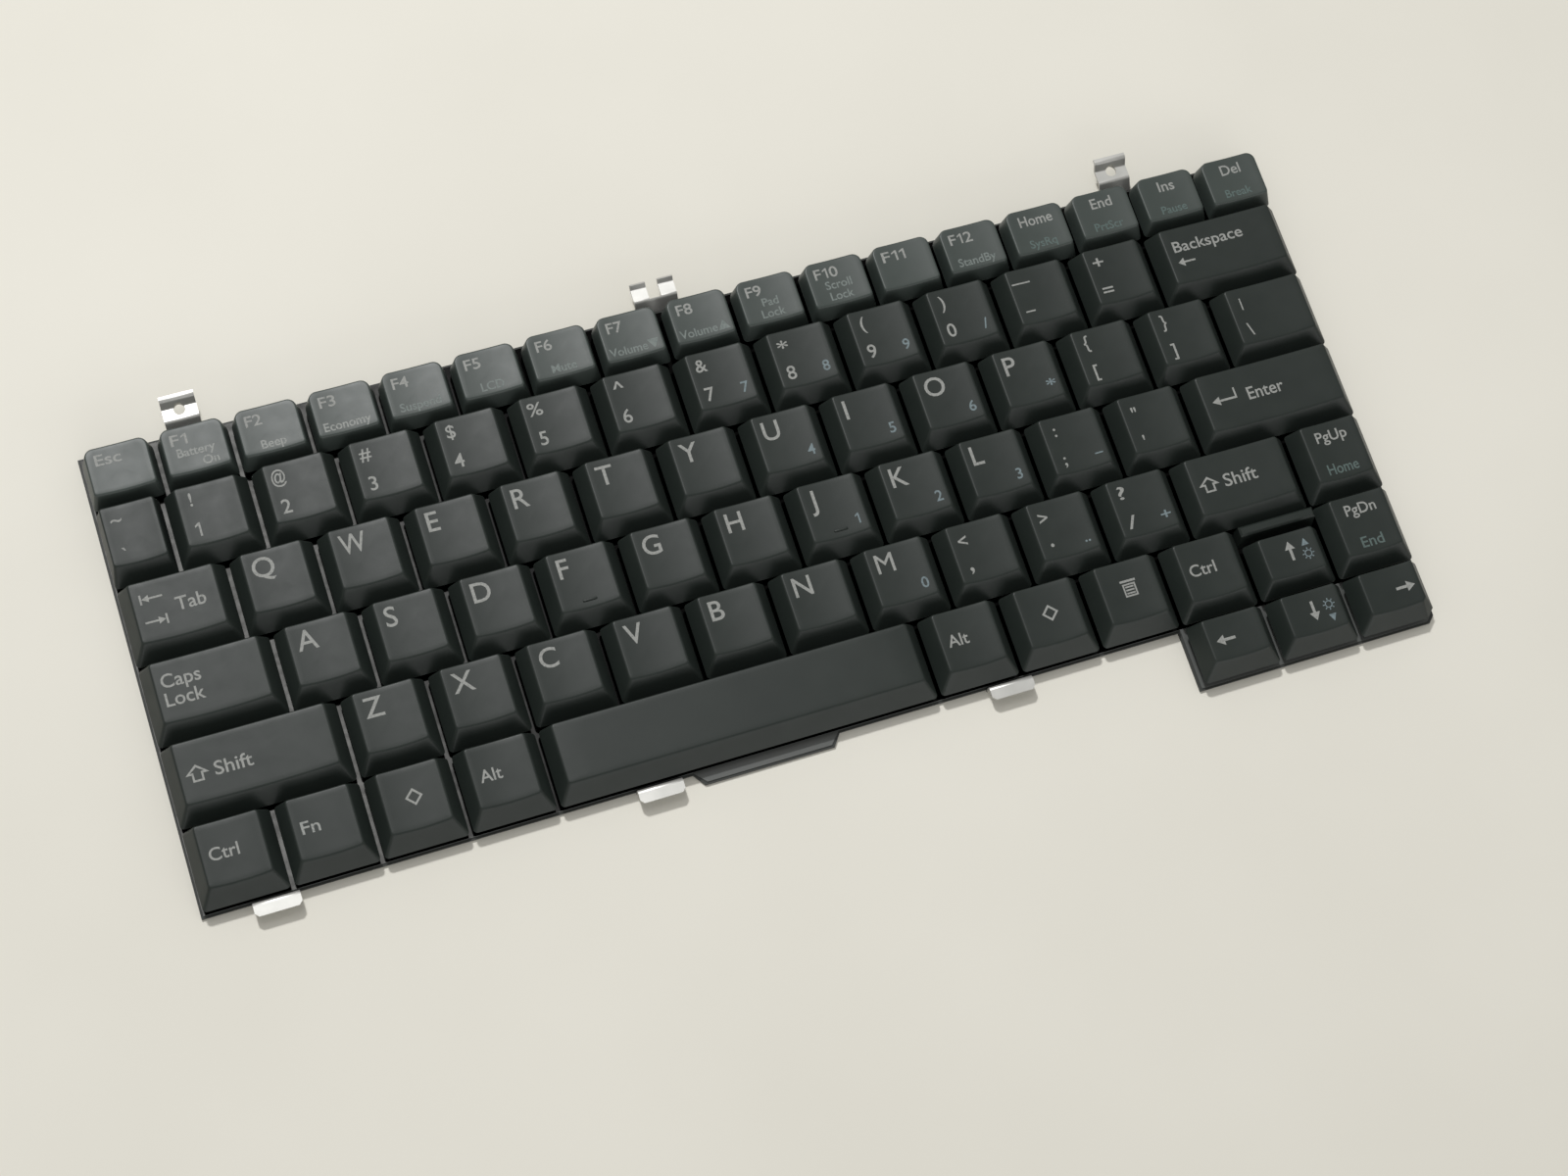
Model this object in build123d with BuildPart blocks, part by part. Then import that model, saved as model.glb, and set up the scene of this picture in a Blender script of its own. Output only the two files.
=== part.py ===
from build123d import *
from math import asin, atan2, degrees
import os

# Laptop replacement keyboard, in millimetres.
# +X runs along the rows to the right, +Y runs to the back row, +Z up through the key tops.
# The origin is on the underside, at the centre of the overall box.

# Key grid: cell sizes, measured from key centre to key centre
KEY_PITCH = 19.0
ROW_PITCH = 18.0
FUNCTION_ROW_DEPTH = 13.6
ARROW_ROW_DEPTH = 13.9
GRAVE_WIDTH = 14.5
BACKSPACE_WIDTH = 33.25
GAP_X = 0.9
GAP_Y = 0.6

# Key caps: sloped walls, dished face, hollow underneath
CAP_HEIGHT = 4.3
TRAVEL = 2.4
SKIRT_CLEARANCE = 0.2
SIDE_SLOPE = 2.5
NARROW_SIDE_SLOPE = 1.0
BACK_SLOPE = 0.4
FRONT_SLOPE = 3.6
FUNCTION_FRONT_SLOPE = 2.0
ARROW_FRONT_SLOPE = 3.3
CAP_CORNER = 0.9
FUNCTION_BACK_CORNER = 1.4
DISH_DEPTH = 0.33
DISH_OVERSHOOT = 0.15
CAP_WALL = 1.0
CAP_ROOF = 1.4
PLUNGER_WIDTH = 3.0
PLUNGER_LENGTH = 1.7
OUTER_CORNER_CUT = 1.5

# Finger bars on the two home keys
BUMP_LENGTH = 3.2
BUMP_WIDTH = 0.5
BUMP_HEIGHT = 0.3
BUMP_SETBACK = 1.5

# Rubber domes and scissor levers under the keys
DOME_BASE_RADIUS = 2.4
DOME_TOP_RADIUS = 1.5
DOME_SIDES = 6
DOME_GAP = 0.1
LEVER_BAR = 1.1
LEVER_THICKNESS = 0.8
LEVER_SIDE_GAP = 0.3
LEVER_END_GAP = 0.85
LEVER_NEST_GAP = 0.2
LEVER_FOOT_GAP = 0.05
LEVER_HEAD_GAP = 0.2

# Base plate and switch film
SHEET = 0.6
FILM = 0.3
PLATE_RIM = 0.3
FILM_INSET = 0.5
LIP_CENTRE_X = 122.3
LIP_ROOT_WIDTH = 33.6
LIP_TIP_WIDTH = 29.2
LIP_REACH = 3.0

# Bent tabs of the base plate, placed from the left edge of the key block unless said otherwise
TAB_ROOT = 4.0
TAB_BEND = 0.6
TAB_RISE = 2.8
FRONT_TABS_X = (15.3, 98.0, 177.8)
FRONT_TAB_WIDTH = 10.0
FRONT_TAB_STANDOFF = 0.75
FRONT_TAB_REACH = 3.65
FRONT_TAB_CORNER = 0.8
REAR_TAB_LEFT_X = 23.3
REAR_TAB_FROM_RIGHT = 33.85
REAR_TAB_WIDTH = 7.6
REAR_FOOT = 0.3
REAR_RISER_RUN = 2.2
REAR_FLANGE_REACH = 5.7
REAR_HOLE_RADIUS = 1.25
REAR_HOLE_SETBACK = 0.9
REAR_LIP_OUT = 1.1
REAR_LIP_RISE = 2.0
REAR_LIP_TOP = 0.97
REAR_FORK_X = 130.5
REAR_FORK_WIDTH = 10.0
REAR_FORK_SLOT = 2.8
REAR_FORK_SLOT_LENGTH = 3.9
REAR_FORK_LIP_OUT = 0.8
REAR_FORK_LIP_RISE = 1.0

# Spacer bar behind the upper arrow key
BAR_DROP = 1.5
BAR_FRONT_SLOPE = 1.3
BAR_CHAMFER = 0.4

# Names of the keys, row by row
FUNCTION_NAMES = "esc f1 f2 f3 f4 f5 f6 f7 f8 f9 f10 f11 f12 home end insert delete".split()
NUMBER_NAMES = "1 2 3 4 5 6 7 8 9 0 minus equals".split()
UPPER_NAMES = "q w e r t y u i o p left_bracket right_bracket".split()
HOME_NAMES = "a s d f g h j k l semicolon quote".split()
LOWER_NAMES = "z x c v b n m comma period slash".split()
LEFT_MODIFIERS = "fn mark_left alt_left".split()
RIGHT_MODIFIERS = "alt_right mark_right menu ctrl_right".split()
ARROW_NAMES = "left down right".split()
BUMP_KEYS = ("f", "j")
MODIFIERS = ["caps_lock", "shift_left", "shift_right", "ctrl_left", *LEFT_MODIFIERS, *RIGHT_MODIFIERS]
NAVIGATION = ["page_up", "page_down", "up", *ARROW_NAMES]

# Widths that follow from the grid
TAB_KEY_WIDTH = GRAVE_WIDTH + KEY_PITCH / 2
CAPS_WIDTH = TAB_KEY_WIDTH + KEY_PITCH / 4
SHIFT_WIDTH = CAPS_WIDTH + KEY_PITCH / 2
CTRL_WIDTH = SHIFT_WIDTH - KEY_PITCH
BLOCK_WIDTH = GRAVE_WIDTH + len(NUMBER_NAMES) * KEY_PITCH + BACKSPACE_WIDTH
BACKSLASH_WIDTH = BLOCK_WIDTH - TAB_KEY_WIDTH - len(UPPER_NAMES) * KEY_PITCH
ENTER_WIDTH = BLOCK_WIDTH - CAPS_WIDTH - len(HOME_NAMES) * KEY_PITCH
RIGHT_SHIFT_WIDTH = BLOCK_WIDTH - SHIFT_WIDTH - (len(LOWER_NAMES) + 1) * KEY_PITCH
BOTTOM_UNITS = len(LEFT_MODIFIERS) + len(RIGHT_MODIFIERS) + 2
SPACE_WIDTH = BLOCK_WIDTH - CTRL_WIDTH - BOTTOM_UNITS * KEY_PITCH
FUNCTION_WIDTH = BLOCK_WIDTH / len(FUNCTION_NAMES)
ARROW_BLOCK_WIDTH = len(ARROW_NAMES) * KEY_PITCH

# Heights above the underside
FILM_TOP = SHEET + FILM
SKIRT_Z = FILM_TOP + TRAVEL + SKIRT_CLEARANCE
FACE_Z = SKIRT_Z + CAP_HEIGHT
CEILING_Z = FACE_Z - CAP_ROOF
PLUNGER_Z = CEILING_Z - PLUNGER_LENGTH
DOME_TOP = PLUNGER_Z - DOME_GAP
TAB_TOP = SHEET + TAB_RISE
BAR_TOP = FACE_Z - BAR_DROP
CEILING_SHARE = (CEILING_Z - SKIRT_Z) / CAP_HEIGHT

# Places in plan, with the overall box centred on the origin
REAR_REACH = REAR_FLANGE_REACH + REAR_LIP_OUT + REAR_LIP_TOP
MAIN_DEPTH = 5 * ROW_PITCH
TOTAL_DEPTH = PLATE_RIM + ARROW_ROW_DEPTH + MAIN_DEPTH + FUNCTION_ROW_DEPTH + REAR_REACH
X_LEFT = -BLOCK_WIDTH / 2
X_RIGHT = BLOCK_WIDTH / 2
Y_FRONT = -TOTAL_DEPTH / 2
Y_ARROWS = Y_FRONT + PLATE_RIM
Y_BOTTOM = Y_ARROWS + ARROW_ROW_DEPTH
Y_LOWER = Y_BOTTOM + ROW_PITCH
Y_HOME = Y_LOWER + ROW_PITCH
Y_UPPER = Y_HOME + ROW_PITCH
Y_NUMBER = Y_UPPER + ROW_PITCH
Y_FUNCTION = Y_NUMBER + ROW_PITCH
Y_BACK = Y_FUNCTION + FUNCTION_ROW_DEPTH

# Lever sizes, set by the roof space of the narrowest typing key and of one row
ROOF_WIDTH = GRAVE_WIDTH - GAP_X - 2 * CAP_WALL - 2 * CEILING_SHARE * NARROW_SIDE_SLOPE
ROOF_DEPTH = ROW_PITCH - GAP_Y - 2 * CAP_WALL - CEILING_SHARE * (FRONT_SLOPE + BACK_SLOPE)
LEVER_WIDTH = ROOF_WIDTH - 2 * LEVER_SIDE_GAP
LEVER_LENGTH = ROOF_DEPTH - 2 * LEVER_END_GAP
LEVER_FOOT = FILM_TOP + LEVER_FOOT_GAP
LEVER_HEAD = CEILING_Z - TRAVEL - LEVER_HEAD_GAP
LEVER_TILT = degrees(asin((LEVER_HEAD - LEVER_FOOT - LEVER_THICKNESS) / LEVER_LENGTH))
LEVER_MIDDLE = (LEVER_HEAD + LEVER_FOOT) / 2


def lean(slope):
    """Angle from the upright of a cap wall that runs in by the slope over the cap's height."""
    return degrees(atan2(slope, CAP_HEIGHT))


def roof_centre(front_slope):
    """How far behind the cell's centre the middle of the space under the roof lies."""
    return CEILING_SHARE * (front_slope - BACK_SLOPE) / 2


def sloped_block(width, depth, height, side_slope, front_slope):
    """A block that stands on the skirt plane, its walls leaning in as those of a cap do."""
    skirt_plane = Plane.XY.offset(SKIRT_Z)
    with BuildPart() as block:
        with BuildSketch(skirt_plane):
            Rectangle(width, depth)
        extrude(amount=height)
        draft(block.faces().filter_by(Axis.X), skirt_plane, lean(side_slope))
        draft(block.faces().sort_by(Axis.Y)[0], skirt_plane, lean(front_slope))
        draft(block.faces().sort_by(Axis.Y)[-1], skirt_plane, lean(BACK_SLOPE))
    return block.part


def cap_form(
    width,
    depth=ROW_PITCH,
    side_slope=SIDE_SLOPE,
    front_slope=FRONT_SLOPE,
    back_corner=CAP_CORNER,
    plunger_foot=PLUNGER_Z,
    dished=True,
    bump=False,
    corner_cut=False,
):
    """One key cap, centred on its cell: a sloped shell with a dished face and a plunger."""
    skirt_width = width - GAP_X
    skirt_depth = depth - GAP_Y
    slopes = (side_slope, front_slope)
    pocket_size = (skirt_width - 2 * CAP_WALL, skirt_depth - 2 * CAP_WALL, CEILING_Z - SKIRT_Z)
    with BuildPart() as cap:
        add(sloped_block(skirt_width, skirt_depth, CAP_HEIGHT, *slopes))
        chamfer(cap.edges().group_by(Axis.Z)[1].sort_by(Axis.Y)[:2], length=CAP_CORNER)
        chamfer(cap.edges().group_by(Axis.Z)[1].sort_by(Axis.Y)[-2:], length=back_corner)
        if dished:
            half_chord = skirt_width / 2 - side_slope + DISH_OVERSHOOT
            dish_radius = (half_chord**2 + DISH_DEPTH**2) / (2 * DISH_DEPTH)
            with Locations((0, 0, FACE_Z - DISH_DEPTH + dish_radius)):
                Cylinder(dish_radius, 2 * skirt_depth, rotation=(90, 0, 0), mode=Mode.SUBTRACT)
        add(sloped_block(*pocket_size, *slopes), mode=Mode.SUBTRACT)
        with BuildSketch(Plane.XY.offset(plunger_foot)):
            with Locations((0, roof_centre(front_slope))):
                Rectangle(PLUNGER_WIDTH, PLUNGER_WIDTH)
        extrude(amount=CEILING_Z - plunger_foot)
        if bump:
            bump_y = front_slope - skirt_depth / 2 + BUMP_SETBACK
            with BuildSketch(Plane.XY.offset(FACE_Z - DISH_DEPTH - BUMP_HEIGHT)):
                with Locations((0, bump_y)):
                    Rectangle(BUMP_LENGTH, BUMP_WIDTH)
            extrude(amount=2 * BUMP_HEIGHT)
        if corner_cut:
            cut_side = OUTER_CORNER_CUT * 2**0.5
            with BuildSketch(Plane.XY.offset(SKIRT_Z)):
                with Locations((skirt_width / 2, -skirt_depth / 2)):
                    Rectangle(cut_side, cut_side, rotation=45)
            extrude(amount=CAP_HEIGHT, mode=Mode.SUBTRACT)
    return cap.part


def spread(keys, x_left):
    """Lay (name, width) cells side by side from x_left, as (name, centre, width)."""
    cells = []
    for name, width in keys:
        cells.append((name, x_left + width / 2, width))
        x_left += width
    return cells


def units(names):
    """Keys of one grid pitch each."""
    return [(name, KEY_PITCH) for name in names]


def lever_form(width, tilt, open_end):
    """One lever of a scissor pair, a flat fork that leans; its open end is -1 for front or 1 for back."""
    lever_plane = Plane(origin=(0, roof_centre(FRONT_SLOPE), LEVER_MIDDLE)).rotated((tilt, 0, 0))
    with BuildPart() as lever:
        with BuildSketch(lever_plane):
            Rectangle(width, LEVER_LENGTH)
            with Locations((0, open_end * LEVER_BAR)):
                Rectangle(width - 2 * LEVER_BAR, LEVER_LENGTH, mode=Mode.SUBTRACT)
        extrude(amount=LEVER_THICKNESS / 2, both=True)
    return lever.part


def block_outline(inset):
    """Outline of the plate, less an inset, drawn in the sketch that is open."""
    rim = PLATE_RIM - inset
    with Locations((0, (Y_BOTTOM + Y_BACK) / 2)):
        Rectangle(BLOCK_WIDTH + 2 * rim, Y_BACK - Y_BOTTOM + 2 * rim)
    arrow_left = X_RIGHT - ARROW_BLOCK_WIDTH - rim
    arrow_front = Y_ARROWS - rim
    Polygon(
        (arrow_left, Y_LOWER),
        (arrow_left, arrow_front),
        (X_RIGHT + rim - OUTER_CORNER_CUT, arrow_front),
        (X_RIGHT + rim, arrow_front + OUTER_CORNER_CUT),
        (X_RIGHT + rim, Y_LOWER),
        align=None,
    )
    lip_x = X_LEFT + LIP_CENTRE_X
    root_half = LIP_ROOT_WIDTH / 2 - inset
    tip_half = LIP_TIP_WIDTH / 2 - inset
    tip_y = Y_BOTTOM - LIP_REACH + inset
    Polygon(
        (lip_x - root_half, Y_LOWER),
        (lip_x - root_half, Y_BOTTOM),
        (lip_x - tip_half, tip_y),
        (lip_x + tip_half, tip_y),
        (lip_x + root_half, Y_BOTTOM),
        (lip_x + root_half, Y_LOWER),
        align=None,
    )


def bent_strip(width, points):
    """A sheet strip of the given width, bent along points given as (y, z) of its middle."""
    with BuildPart() as strip:
        with BuildSketch(Plane.YZ):
            with BuildLine():
                FilletPolyline(*points, radius=TAB_BEND)
            trace(line_width=SHEET)
        extrude(amount=width / 2, both=True)
    return strip.part


def front_tab_form():
    """A tab that steps up from the plate's front edge, with its corners cut."""
    riser_y = Y_BOTTOM - FRONT_TAB_STANDOFF
    middle = SHEET / 2
    flange_z = TAB_TOP - middle
    points = [
        (Y_BOTTOM + TAB_ROOT, middle),
        (riser_y, middle),
        (riser_y, flange_z),
        (Y_BOTTOM - FRONT_TAB_REACH, flange_z),
    ]
    with BuildPart() as tab:
        add(bent_strip(FRONT_TAB_WIDTH, points))
        chamfer(tab.edges().filter_by(Axis.Z).group_by(Axis.Y)[0], FRONT_TAB_CORNER)
    return tab.part


def rear_tab_points(*lip):
    """Middle line of a rear tab: up a slope, along the flange, then over the (out, rise) steps of a lip."""
    foot_y = Y_BACK + REAR_FOOT
    middle = SHEET / 2
    flange_z = TAB_TOP - middle
    flange_end = Y_BACK + REAR_FLANGE_REACH
    points = [
        (Y_BACK - TAB_ROOT, middle),
        (foot_y, middle),
        (foot_y + REAR_RISER_RUN, flange_z),
        (flange_end, flange_z),
    ]
    return points + [(flange_end + out, flange_z + rise) for out, rise in lip]


def rear_tab_form():
    """A rear tab with a stepped lip and a round hole that runs into the foot of the step."""
    lip = [(REAR_LIP_OUT, REAR_LIP_RISE), (REAR_LIP_OUT + REAR_LIP_TOP, REAR_LIP_RISE)]
    hole_y = Y_BACK + REAR_FLANGE_REACH - REAR_HOLE_SETBACK
    with BuildPart() as tab:
        add(bent_strip(REAR_TAB_WIDTH, rear_tab_points(*lip)))
        with Locations((0, hole_y, TAB_TOP + REAR_LIP_RISE)):
            Hole(REAR_HOLE_RADIUS, depth=REAR_LIP_RISE + SHEET)
    return tab.part


def rear_fork_form():
    """The middle rear tab, slotted from its tip into two prongs."""
    tip_y = Y_BACK + REAR_FLANGE_REACH + REAR_FORK_LIP_OUT
    with BuildPart() as fork:
        add(bent_strip(REAR_FORK_WIDTH, rear_tab_points((REAR_FORK_LIP_OUT, REAR_FORK_LIP_RISE))))
        with BuildSketch(Plane.XY):
            with Locations((0, tip_y - REAR_FORK_SLOT_LENGTH)):
                Rectangle(REAR_FORK_SLOT, 2 * REAR_FORK_SLOT_LENGTH, align=(Align.CENTER, Align.MIN))
        extrude(amount=FACE_Z, mode=Mode.SUBTRACT)
    return fork.part


def write(piece, name):
    """Label a finished piece and write its file."""
    piece.part.label = name
    export_step(piece.part, f"parts/{name}.step")


os.makedirs("parts", exist_ok=True)

# Cells of the typing block, with the y of each row's front line
rows = [
    (Y_NUMBER, [("grave", GRAVE_WIDTH), *units(NUMBER_NAMES), ("backspace", BACKSPACE_WIDTH)]),
    (Y_UPPER, [("tab", TAB_KEY_WIDTH), *units(UPPER_NAMES), ("backslash", BACKSLASH_WIDTH)]),
    (Y_HOME, [("caps_lock", CAPS_WIDTH), *units(HOME_NAMES), ("enter", ENTER_WIDTH)]),
    (
        Y_LOWER,
        [
            ("shift_left", SHIFT_WIDTH),
            *units(LOWER_NAMES),
            ("shift_right", RIGHT_SHIFT_WIDTH),
            ("page_up", KEY_PITCH),
        ],
    ),
    (
        Y_BOTTOM,
        [
            ("ctrl_left", CTRL_WIDTH),
            *units(LEFT_MODIFIERS),
            ("space", SPACE_WIDTH),
            *units(RIGHT_MODIFIERS),
            ("up", KEY_PITCH),
            ("page_down", KEY_PITCH),
        ],
    ),
]
cells = {}
for row_y, row_keys in rows:
    for key_name, key_x, key_width in spread(row_keys, X_LEFT):
        cells[key_name] = (key_x, row_y + ROW_PITCH / 2, key_width)
arrow_y = Y_ARROWS + ARROW_ROW_DEPTH / 2
for key_name, key_x, key_width in spread(units(ARROW_NAMES), X_RIGHT - ARROW_BLOCK_WIDTH):
    cells[key_name] = (key_x, arrow_y, key_width)
up_x = cells["up"][0]
typing_names = [name for name in cells if name not in MODIFIERS + NAVIGATION]

# Caps of the typing keys, each a piece that travels; keys of one width share one form
typing_forms = {}
for key_name in typing_names:
    key_x, key_y, key_width = cells[key_name]
    has_bump = key_name in BUMP_KEYS
    form_key = (key_width, has_bump)
    if form_key not in typing_forms:
        typing_forms[form_key] = cap_form(
            key_width,
            side_slope=NARROW_SIDE_SLOPE if key_name == "grave" else SIDE_SLOPE,
            dished=key_name != "space",
            bump=has_bump,
        )
    with BuildPart() as key:
        with Locations((key_x, key_y)):
            add(typing_forms[form_key])
    write(key, f"key_{key_name}")

# Function keys, each one solid with the stem that stands on the film
function_form = cap_form(
    FUNCTION_WIDTH,
    depth=FUNCTION_ROW_DEPTH,
    side_slope=NARROW_SIDE_SLOPE,
    front_slope=FUNCTION_FRONT_SLOPE,
    back_corner=FUNCTION_BACK_CORNER,
    plunger_foot=FILM_TOP,
)
function_y = Y_FUNCTION + FUNCTION_ROW_DEPTH / 2
function_cells = spread([(name, FUNCTION_WIDTH) for name in FUNCTION_NAMES], X_LEFT)
with BuildPart() as function_keys:
    with Locations(*[(x, function_y) for _, x, _ in function_cells]):
        add(function_form)
write(function_keys, "function_keys")

# Modifier keys, made the same way
with BuildPart() as modifier_keys:
    for key_name in MODIFIERS:
        key_x, key_y, key_width = cells[key_name]
        with Locations((key_x, key_y)):
            add(cap_form(key_width, plunger_foot=FILM_TOP))
write(modifier_keys, "modifier_keys")

# Page and arrow keys; the arrow keys are short
page_form = cap_form(KEY_PITCH, plunger_foot=FILM_TOP)
arrow_sizes = {
    "width": KEY_PITCH,
    "depth": ARROW_ROW_DEPTH,
    "front_slope": ARROW_FRONT_SLOPE,
    "plunger_foot": FILM_TOP,
}
arrow_form = cap_form(**arrow_sizes)
corner_form = cap_form(**arrow_sizes, corner_cut=True)
with BuildPart() as navigation_keys:
    with Locations(*[cells[name][:2] for name in ("page_up", "page_down")]):
        add(page_form)
    with Locations((up_x, Y_BOTTOM + ARROW_ROW_DEPTH / 2), *[cells[name][:2] for name in ("left", "down")]):
        add(arrow_form)
    with Locations(cells["right"][:2]):
        add(corner_form)
write(navigation_keys, "navigation_keys")

# Spacer bar that fills the row behind the upper arrow key
bar_depth = ROW_PITCH - ARROW_ROW_DEPTH - GAP_Y
with BuildPart() as spacer_bar:
    with BuildSketch(Plane.XY.offset(FILM_TOP)):
        with Locations((up_x, Y_BOTTOM + (ROW_PITCH + ARROW_ROW_DEPTH) / 2)):
            Rectangle(KEY_PITCH - GAP_X, bar_depth)
    extrude(amount=BAR_TOP - FILM_TOP)
    bar_lean = degrees(atan2(BAR_FRONT_SLOPE, BAR_TOP - FILM_TOP))
    draft(spacer_bar.faces().sort_by(Axis.Y)[0], Plane.XY.offset(FILM_TOP), bar_lean)
    chamfer(spacer_bar.faces().sort_by(Axis.Z)[-1].edges(), length=BAR_CHAMFER)
write(spacer_bar, "spacer_bar")

# Rubber domes, one under each typing key
lift_places = [(cells[name][0], cells[name][1]) for name in typing_names]
dome_height = DOME_TOP - FILM_TOP
with BuildPart() as dome:
    with BuildSketch(Plane((0, roof_centre(FRONT_SLOPE), FILM_TOP))):
        RegularPolygon(DOME_BASE_RADIUS, DOME_SIDES, major_radius=False, rotation=30)
    extrude(amount=dome_height, taper=degrees(atan2(DOME_BASE_RADIUS - DOME_TOP_RADIUS, dome_height)))
with BuildPart() as rubber_domes:
    with Locations(*lift_places):
        add(dome.part)
write(rubber_domes, "rubber_domes")

# Scissor levers: a wide fork with a narrow one nested in it, leaning the other way
inner_width = LEVER_WIDTH - 2 * LEVER_BAR - 2 * LEVER_NEST_GAP
with BuildPart() as outer_levers:
    with Locations(*lift_places):
        add(lever_form(LEVER_WIDTH, LEVER_TILT, open_end=-1))
write(outer_levers, "outer_levers")
with BuildPart() as inner_levers:
    with Locations(*lift_places):
        add(lever_form(inner_width, -LEVER_TILT, open_end=1))
write(inner_levers, "inner_levers")

# Switch film, with a tongue on the plate's front lip
with BuildPart() as switch_film:
    with BuildSketch(Plane.XY.offset(SHEET)):
        block_outline(FILM_INSET)
    extrude(amount=FILM)
write(switch_film, "switch_film")

# Base plate, one sheet with its front and rear tabs bent up from it
rear_tab_places = [X_LEFT + REAR_TAB_LEFT_X, X_RIGHT - REAR_TAB_FROM_RIGHT]
with BuildPart() as base_plate:
    with BuildSketch(Plane.XY):
        block_outline(0)
    extrude(amount=SHEET)
    with Locations(*[(X_LEFT + x, 0) for x in FRONT_TABS_X]):
        add(front_tab_form())
    with Locations(*[(x, 0) for x in rear_tab_places]):
        add(rear_tab_form())
    with Locations((X_LEFT + REAR_FORK_X, 0)):
        add(rear_fork_form())
write(base_plate, "base_plate")
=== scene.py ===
import math

import bpy
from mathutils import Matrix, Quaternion, Vector


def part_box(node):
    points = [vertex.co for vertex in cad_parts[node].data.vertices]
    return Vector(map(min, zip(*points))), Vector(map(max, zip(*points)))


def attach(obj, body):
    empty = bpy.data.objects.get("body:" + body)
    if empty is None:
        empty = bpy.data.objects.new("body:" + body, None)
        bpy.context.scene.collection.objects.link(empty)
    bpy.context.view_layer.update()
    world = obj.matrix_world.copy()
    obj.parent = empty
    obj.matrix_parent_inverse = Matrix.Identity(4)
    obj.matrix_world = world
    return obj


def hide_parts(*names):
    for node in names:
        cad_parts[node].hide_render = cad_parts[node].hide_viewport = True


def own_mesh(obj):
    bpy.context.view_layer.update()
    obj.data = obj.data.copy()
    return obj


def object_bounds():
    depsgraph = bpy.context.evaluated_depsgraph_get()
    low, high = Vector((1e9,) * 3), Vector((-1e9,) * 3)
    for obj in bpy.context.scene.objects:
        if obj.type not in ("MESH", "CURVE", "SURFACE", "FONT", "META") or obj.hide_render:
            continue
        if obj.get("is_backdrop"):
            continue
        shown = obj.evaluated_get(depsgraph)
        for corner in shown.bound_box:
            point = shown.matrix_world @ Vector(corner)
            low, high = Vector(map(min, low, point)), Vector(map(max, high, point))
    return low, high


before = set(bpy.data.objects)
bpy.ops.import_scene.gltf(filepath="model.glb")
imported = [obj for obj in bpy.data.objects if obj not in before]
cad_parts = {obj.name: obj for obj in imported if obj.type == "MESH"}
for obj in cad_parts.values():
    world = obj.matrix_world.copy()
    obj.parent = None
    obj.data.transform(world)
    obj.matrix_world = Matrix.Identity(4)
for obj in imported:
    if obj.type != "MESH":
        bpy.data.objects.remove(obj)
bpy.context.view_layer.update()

MM = 0.001

# Key caps: how far each wall leans in, corner radii, the rounding of the face's edge and the hollow
SIDE_SLOPE = 2.5 * MM
NARROW_SIDE_SLOPE = 1.0 * MM
BACK_SLOPE = 0.4 * MM
FRONT_SLOPE = 3.6 * MM
FUNCTION_FRONT_SLOPE = 2.0 * MM
ARROW_FRONT_SLOPE = 3.3 * MM
SKIRT_RADIUS = 0.9 * MM
FACE_RADIUS = 0.75 * MM
FUNCTION_BACK_RADIUS = 2.6 * MM
FUNCTION_FACE_RADIUS = 1.9 * MM
OUTER_CUT = 2.0 * MM
DISH_DEPTH = 0.33 * MM
EDGE_ROUND = 0.4 * MM
CAP_WALL = 1.0 * MM
CAP_ROOF = 1.4 * MM
STEM_WIDTH = 3.0 * MM
STEM_RADIUS = STEM_WIDTH / 8
HOLLOW_RADIUS = SKIRT_RADIUS / 3
PLUNGER_LENGTH = 1.7 * MM

# Mesh density of a cap
CORNER_STEPS = 6
LONG_STEPS = 14
SHORT_STEPS = 5
ROUND_STEPS = 4
WALL_SHARES = (0.5, 0.85)
FACE_SHARES = (0.86, 0.6, 0.3)
SHARP_ANGLE = math.radians(38)

# Finger bars on the two home keys
BUMP_KEYS = ("f", "j")
BUMP_LENGTH = 3.2 * MM
BUMP_WIDTH = 0.5 * MM
BUMP_HEIGHT = 0.3 * MM
BUMP_SETBACK = 1.5 * MM
BUMP_SINK = 0.1 * MM
BUMP_PROFILE = ((1.0, 0.5), (0.8, 0.85), (0.45, 1.0))
BUMP_END = 0.98

# Legends: heights of capitals, line widths, and margins from the edges of the face
LETTER_HEIGHT = 4.35 * MM
SYMBOL_HEIGHT = 2.9 * MM
DIGIT_HEIGHT = 3.1 * MM
WORD_HEIGHT = 2.9 * MM
SHORT_WORD_HEIGHT = 2.65 * MM
PAD_HEIGHT = 2.4 * MM
FUNCTION_HEIGHT = 2.45 * MM
SMALL_HEIGHT = 1.9 * MM
INK_HALF = 0.025 * MM
STROKE = 0.42 * MM
LETTER_BOLD = 0.04 * MM
LETTER_LEFT = 1.75 * MM
BACK_MARGIN = 1.7 * MM
FRONT_MARGIN = 1.8 * MM
PAIR_CENTRE = 2.9 * MM
PAD_CENTRE = 2.2 * MM
FUNCTION_LEFT = 1.85 * MM
NOTE_MARGIN = 0.9 * MM
NOTE_PITCH = 2.75 * MM
NOTE_SHIFTS = {"On": 2.6 * MM}
BAR_SIGN_HEIGHT = 2.1 * MM
SIGN_WIDTHS = {
    "@": 3.1 * MM,
    "%": 3.3 * MM,
    "^": 2.4 * MM,
    "*": 2.5 * MM,
    "+": 2.6 * MM,
    "=": 2.6 * MM,
    "?": 1.8 * MM,
    "/": 2.1 * MM,
}
SIGN_DROPS = {
    "*": 0.7 * MM,
    "+": 0.2 * MM,
    "=": 0.2 * MM,
    "<": 0.7 * MM,
    ">": 0.7 * MM,
    '"': 1.2 * MM,
    "'": 1.0 * MM,
    "`": 0.9 * MM,
    ".": -1.0 * MM,
    ",": -0.7 * MM,
}
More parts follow.
